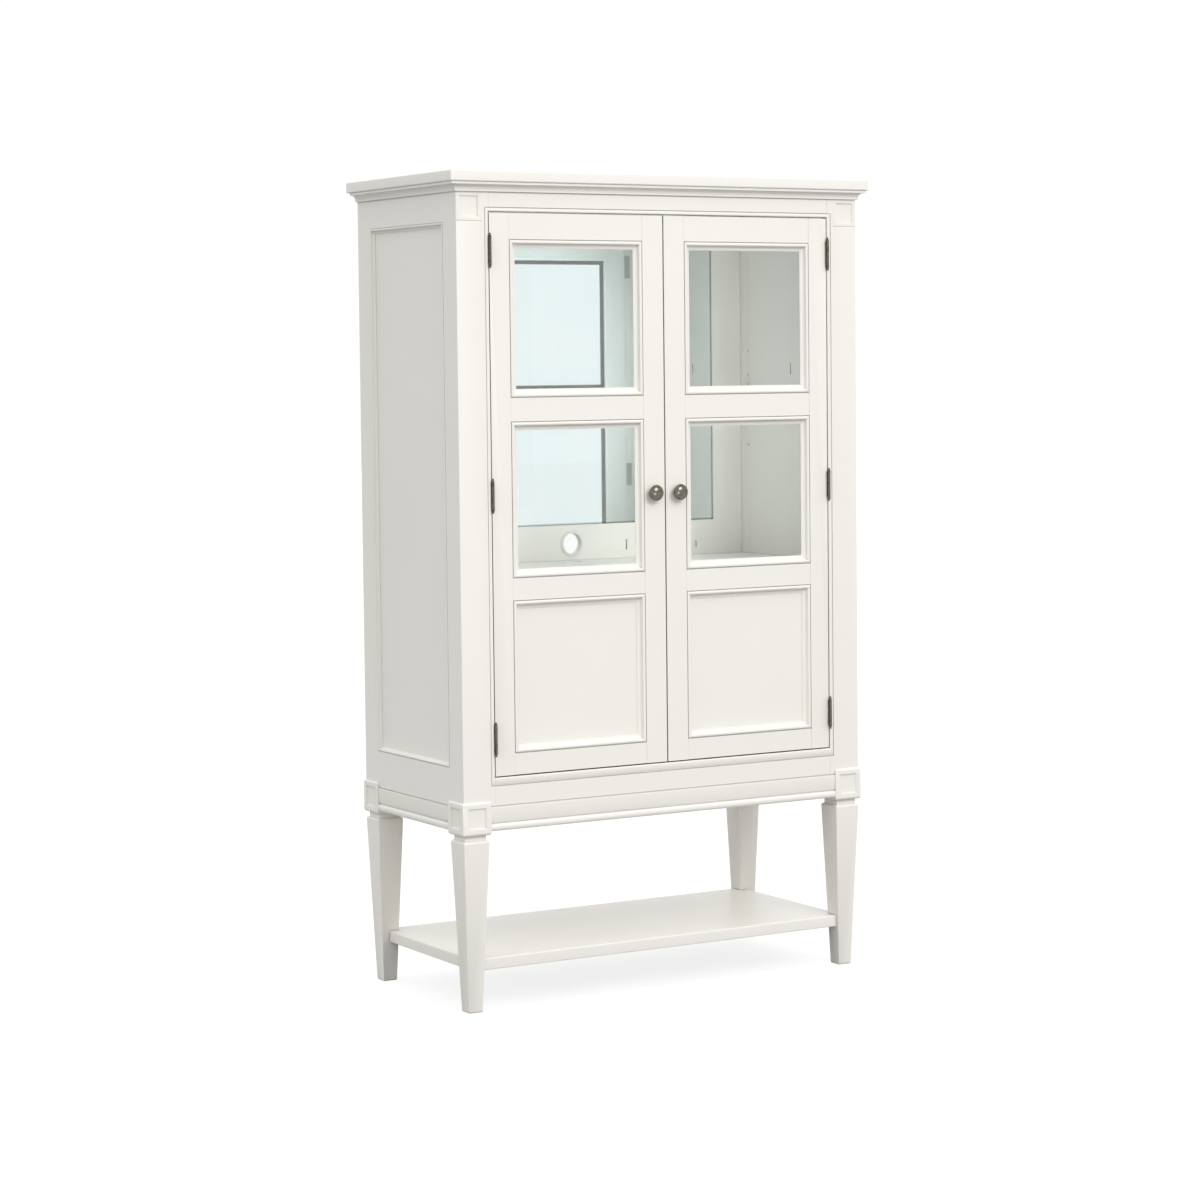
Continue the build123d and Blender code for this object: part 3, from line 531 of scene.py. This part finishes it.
bm = bmesh.new()
strip(
    bm, cornice_profile(),
    lambda out, z: (-HALF_BODY - out + MITRE_GAP, Y_FRONT - out, z),
    lambda out, z: (HALF_BODY + out - MITRE_GAP, Y_FRONT - out, z),
)
finished("cornice_front_run", mesh_from("cornice_front_run", bm), "cornice_front", paint["x"], 38)

bm = bmesh.new()
for sign in (-1, 1):
    strip(
        bm, cornice_profile(),
        lambda out, z: (sign * (HALF_BODY + out), Y_FRONT - out + MITRE_GAP, z),
        lambda out, z: (sign * (HALF_BODY + out), Y_BACK, z),
    )
finished("cornice_sides_run", mesh_from("cornice_sides_run", bm), "cornice_sides", paint["y"], 38)

BLOCK_X = HALF_BODY - POST - BLOCK_PROUD
bm = bmesh.new()
strip(
    bm, apron_profile(),
    lambda out, z: (-BLOCK_X, Y_FRONT - out, z),
    lambda out, z: (BLOCK_X, Y_FRONT - out, z),
)
finished("apron_front_run", mesh_from("apron_front_run", bm), "apron_front", paint["x"], 38)

bm = bmesh.new()
for sign in (-1, 1):
    strip(
        bm, apron_profile(),
        lambda out, z: (sign * (HALF_BODY + out), Y_FRONT + POST + BLOCK_PROUD, z),
        lambda out, z: (sign * (HALF_BODY + out), Y_BACK - POST - BLOCK_PROUD, z),
    )
finished("apron_sides_run", mesh_from("apron_sides_run", bm), "apron_sides", paint["y"], 38)


# ------------------------------------------------------------- boards with soft edges
UPRIGHT = [
    f"{part}_{end}_{side}"
    for part in ("post", "leg")
    for end in ("front", "rear")
    for side in ("left", "right")
]
UPRIGHT += ["frame_stiles", "side_panel_left", "side_panel_right", "mirror_board"]
ACROSS = ["top_board", "frame_top_rail", "frame_bottom_rail", "inner_top", "cabinet_floor"]
ACROSS += ["fixed_shelf", "low_shelf", "back_rails"]
DEEP = ["side_rails_left", "side_rails_right"]
for side in ("left", "right"):
    UPRIGHT += [f"{side}_door_{part}" for part in ("hinge_stile", "meeting_stile", "panel")]
    ACROSS += [f"{side}_door_{part}" for part in ("top_rail", "upper_rail", "lower_rail", "bottom_rail")]
BOARD_EDGE = 0.8
THIN_EDGE = 0.3
for grain, names in (("z", UPRIGHT), ("x", ACROSS), ("y", DEEP)):
    for node in names:
        eased(node, paint[grain], BOARD_EDGE)
eased("back_panel", back_board_shade_darkened, THIN_EDGE)
eased("cable_grommet", sleeve, THIN_EDGE)
eased("door_catches", sleeve, 0.5)
eased("left_door_strike", steel, THIN_EDGE)
eased("right_door_strike", steel, THIN_EDGE)
for node in ("hinge_frame_leaves", "left_door_hinge_leaves", "right_door_hinge_leaves"):
    eased(node, dark_bronze, 0.45, 2)


# ------------------------------------------------------------------ turned metalwork
def turned(bm, profile, base, axis, steps=64):
    """A solid of revolution. profile holds (radius, height) from the foot to the tip."""
    axis = Vector(axis).normalized()
    turn = axis.to_track_quat("Z", "Y").to_matrix()
    rings = []
    for radius, height in profile:
        if radius < 1e-7:
            rings.append([bm.verts.new(Vector(base) + turn @ Vector((0, 0, height)))])
            continue
        ring = []
        for k in range(steps):
            angle = 2 * math.pi * k / steps
            ring.append(bm.verts.new(
                Vector(base) + turn @ Vector((radius * math.cos(angle), radius * math.sin(angle), height))
            ))
        rings.append(ring)
    for a, b in zip(rings, rings[1:]):
        for k in range(steps):
            j = (k + 1) % steps
            if len(a) == 1 and len(b) == 1:
                continue
            if len(a) == 1:
                bm.faces.new((a[0], b[j], b[k]))
            elif len(b) == 1:
                bm.faces.new((a[k], a[j], b[0]))
            else:
                bm.faces.new((a[k], a[j], b[j], b[k]))


KNOB_RADIUS = 17.5
DRAWN_RADIUS = 16.0
KNOB_PROJECTION = 23.8


def knob_profile():
    """Foot, waist, flared underside and full dome, drawn at one radius and widened to another."""
    points = [(0, 0), (8.6, 0), (9.0, 0.35), (9.0, 1.3), (8.6, 1.7), (7.4, 2.2)]
    points += [(6.5, 3.2), (6.0, 4.6), (5.9, 6.0), (6.6, 7.2)]
    points += [(8.8, 8.2), (11.4, 9.1), (13.6, 10.3), (15.1, 11.9)]
    points += arc((10.6, 14.2), (5.4, 4.4), -20, 52, 8)
    points += arc((0, 6.9), (20.6, 16.9), 50, 90, 12)[1:]
    points[-1] = (0, KNOB_PROJECTION)
    return [(r * MM * KNOB_RADIUS / DRAWN_RADIUS, h * MM) for r, h in points]


for side in ("left", "right"):
    node = side + "_door_knob"
    low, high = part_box(node)
    bm = bmesh.new()
    centre = ((low.x + high.x) / 2, Y_DOOR, (low.z + high.z) / 2)
    turned(bm, knob_profile(), centre, (0, -1, 0))
    back = (centre[0], DOOR_BACK, centre[2])
    head = [(0, 0), (4.0, 0), (4.0, 0.6), (3.2, 1.5), (1.6, 1.8), (0, 1.8)]
    turned(bm, [(r * MM, h * MM) for r, h in head], back, (0, 1, 0), 32)
    piece = finished(node + "_turned", mesh_from(node + "_turned", bm), node, knob_metal, 30)
    smooth = piece.modifiers.new("smooth", "SUBSURF")
    smooth.levels = smooth.render_levels = 1

low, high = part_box("hinge_pins")
FINIAL_RADIUS = 2.4 * MM
HALF_BARREL = 31.5 * MM
HALF_PIN_LENGTH = 37.2 * MM
PIN_RADIUS = 1.5 * MM
barrel_x = high.x - FINIAL_RADIUS
barrel_y = (low.y + high.y) / 2
hinge_heights = (low.z + HALF_PIN_LENGTH, (low.z + high.z) / 2, high.z - HALF_PIN_LENGTH)
bm = bmesh.new()
for x in (-barrel_x, barrel_x):
    for z in hinge_heights:
        for up in (-1, 1):
            finial = [(0, 0), (2.2, 0), (2.35, 0.3), (2.2, 0.9), (1.4, 1.3), (1.2, 1.7)]
            finial += arc((0, 3.4), (2.2, 2.0), -40, 90, 10)[1:]
            finial[-1] = (0, 5.4)
            foot_of_finial = (x, barrel_y, z + up * HALF_BARREL)
            turned(bm, [(r * MM, h * MM) for r, h in finial], foot_of_finial, (0, 0, up), 24)
        rod = [(0, 0), (PIN_RADIUS, 0), (PIN_RADIUS, 2 * HALF_BARREL), (0, 2 * HALF_BARREL)]
        turned(bm, rod, (x, barrel_y, z - HALF_BARREL), (0, 0, 1), 24)
finished("hinge_pins_turned", mesh_from("hinge_pins_turned", bm), "hinge_pins", dark_bronze, 40)


# ------------------------------------------------------------------ glass and mirror
def dressed(node, material):
    slots = nodes[node].material_slots
    if not slots:
        nodes[node].data.materials.append(material)
    for slot in slots:
        slot.material = material


y_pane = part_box("left_door_glass")[0].y
for side, sign in (("left", -1), ("right", 1)):
    node = side + "_door_glass"
    bm = bmesh.new()
    for z0, z1 in (LOW_GLASS_Z, HIGH_GLASS_Z):
        size = (STILE_OUTER - STILE_INNER, PANE_THICKNESS, z1 - z0)
        middle = (sign * (STILE_INNER + STILE_OUTER) / 2, y_pane + PANE_THICKNESS / 2, (z0 + z1) / 2)
        sheet = bmesh.ops.create_cube(bm, size=1.0)["verts"]
        bmesh.ops.scale(bm, vec=size, verts=sheet)
        bmesh.ops.translate(bm, vec=middle, verts=sheet)
    bmesh.ops.bevel(bm, geom=list(bm.edges), offset=0.4 * MM, segments=2, affect="EDGES", clamp_overlap=True)
    finished(node + "_panes", mesh_from(node + "_panes", bm), node, clear_glass, 20)
dressed("mirror_glass", mirror_silver)


# ----------------------------------------------------------- floor, light and camera
FLOOR_GLOW = 0.82
FLOOR_GLOW_IN_MIRROR = 0.70


def floor_material():
    """White paper floor: glows only where camera, mirror or glass sees it, and reflects little light."""
    t = Tree("pale_floor")
    plain = t.place((1, 1, 1))
    t.link(t.ramp(t.noise(plain, 1.5), grey(0.20), grey(0.22)), t.shader.inputs["Base Color"])
    t.set(Roughness=0.85, Specular_IOR_Level=0.1, Emission_Color=(1, 1, 1, 1))
    path = t.node("ShaderNodeLightPath")
    in_glass = t.node("ShaderNodeMath", operation="MAXIMUM")
    t.link(path.outputs["Is Glossy Ray"], in_glass.inputs[0])
    t.link(path.outputs["Is Transmission Ray"], in_glass.inputs[1])
    dimmer = t.node("ShaderNodeMath", operation="MULTIPLY")
    dimmer.inputs[1].default_value = FLOOR_GLOW_IN_MIRROR
    t.link(in_glass.outputs["Value"], dimmer.inputs[0])
    direct = t.node("ShaderNodeMath", operation="MULTIPLY")
    direct.inputs[1].default_value = FLOOR_GLOW
    t.link(path.outputs["Is Camera Ray"], direct.inputs[0])
    glow = t.node("ShaderNodeMath", operation="MAXIMUM")
    t.link(direct.outputs["Value"], glow.inputs[0])
    t.link(dimmer.outputs["Value"], glow.inputs[1])
    t.link(glow.outputs["Value"], t.shader.inputs["Emission Strength"])
    return t.material


bm = bmesh.new()
bmesh.ops.create_grid(bm, x_segments=4, y_segments=4, size=30.0)
floor = bpy.data.objects.new("floor", mesh_from("floor", bm))
bpy.context.scene.collection.objects.link(floor)
floor.data.materials.append(floor_material())

STUDIO_LOW = 0.28
STUDIO_HIGH = 1.32
STUDIO_WHITE = 1.02
world = bpy.data.worlds.new("studio")
bpy.context.scene.world = world
world.use_nodes = True
sky = world.node_tree
background = sky.nodes["Background"]
background.inputs["Color"].default_value = (1.0, 1.0, 1.0, 1)

# Light falls mostly from above; what the eye and the mirror see of the studio is plain white.
direction = sky.nodes.new("ShaderNodeTexCoord")
height = sky.nodes.new("ShaderNodeSeparateXYZ")
falloff = sky.nodes.new("ShaderNodeMapRange")
falloff.interpolation_type = "SMOOTHSTEP"
falloff.inputs["From Min"].default_value = -0.05
falloff.inputs["From Max"].default_value = 0.50
falloff.inputs["To Min"].default_value = STUDIO_LOW
falloff.inputs["To Max"].default_value = STUDIO_HIGH
path = sky.nodes.new("ShaderNodeLightPath")
in_glass = sky.nodes.new("ShaderNodeMath")
in_glass.operation = "MAXIMUM"
seen = sky.nodes.new("ShaderNodeMath")
seen.operation = "MAXIMUM"
strength = sky.nodes.new("ShaderNodeMix")
strength.inputs["B"].default_value = STUDIO_WHITE
sky.links.new(direction.outputs["Generated"], height.inputs["Vector"])
sky.links.new(height.outputs["Z"], falloff.inputs["Value"])
sky.links.new(path.outputs["Is Glossy Ray"], in_glass.inputs[0])
sky.links.new(path.outputs["Is Transmission Ray"], in_glass.inputs[1])
sky.links.new(path.outputs["Is Camera Ray"], seen.inputs[0])
sky.links.new(in_glass.outputs["Value"], seen.inputs[1])
sky.links.new(seen.outputs["Value"], strength.inputs["Factor"])
sky.links.new(falloff.outputs["Result"], strength.inputs["A"])
sky.links.new(strength.outputs["Result"], background.inputs["Strength"])
bpy.context.scene.view_settings.view_transform = "Standard"


def softbox(name, place, target, size, watts, colour=(1, 1, 1), seen=True):
    light = bpy.data.lights.new(name, "AREA")
    light.shape = "RECTANGLE"
    light.size, light.size_y = size
    light.energy = watts
    light.color = colour
    holder = bpy.data.objects.new(name, light)
    bpy.context.scene.collection.objects.link(holder)
    holder.visible_camera = holder.visible_glossy = holder.visible_transmission = seen
    holder.location = place
    holder.rotation_euler = (Vector(target) - Vector(place)).to_track_quat("-Z", "Y").to_euler()


SOFT_WHITE = (1.0, 0.99, 0.975)
COOL_WHITE = (0.84, 0.92, 1.0)
FILL_SIZE = (0.70, 0.62)
FILL_HEIGHT = 1.33
softbox("key", (0.6, -4.4, 3.8), (0, 0, 0.9), (2.2, 2.2), 100, SOFT_WHITE)
softbox("low_fill", (-0.8, -4.4, 0.5), (0, 0, 0.3), (2.0, 0.8), 22, SOFT_WHITE)
softbox("side_fill", (-4.5, -0.5, 2.2), (0, 0, 0.9), (3.0, 3.0), 17, (1.0, 0.99, 0.96))

# Two unseen fills stand in the glazed compartment, back to back.
back_target, door_target = (0, 1.0, FILL_HEIGHT), (0, -1.0, FILL_HEIGHT)
softbox("fill_to_back", (0, -0.02, FILL_HEIGHT), back_target, FILL_SIZE, 0.25, COOL_WHITE, False)
softbox("fill_to_doors", (0, -0.03, FILL_HEIGHT), door_target, FILL_SIZE, 2.2, COOL_WHITE, False)

CAMERA_PLACE = (-3.45481, -5.83021, 1.37191)
LENS = 90.7438
SHIFT_Y = -0.05
YAW, PITCH, ROLL = 0.53066, -0.05804, -0.01069
ahead = Vector((math.sin(YAW) * math.cos(PITCH), math.cos(YAW) * math.cos(PITCH), math.sin(PITCH)))
level = Vector((math.cos(YAW), -math.sin(YAW), 0))
above = level.cross(ahead)
right = math.cos(ROLL) * level + math.sin(ROLL) * above
up = -math.sin(ROLL) * level + math.cos(ROLL) * above
camera_data = bpy.data.cameras.new("camera")
camera_data.sensor_width = 36.0
camera_data.lens = LENS
camera_data.shift_y = SHIFT_Y
camera = bpy.data.objects.new("camera", camera_data)
bpy.context.scene.collection.objects.link(camera)
camera.matrix_world = Matrix.Translation(CAMERA_PLACE) @ Matrix((right, up, -ahead)).transposed().to_4x4()
bpy.context.scene.camera = camera
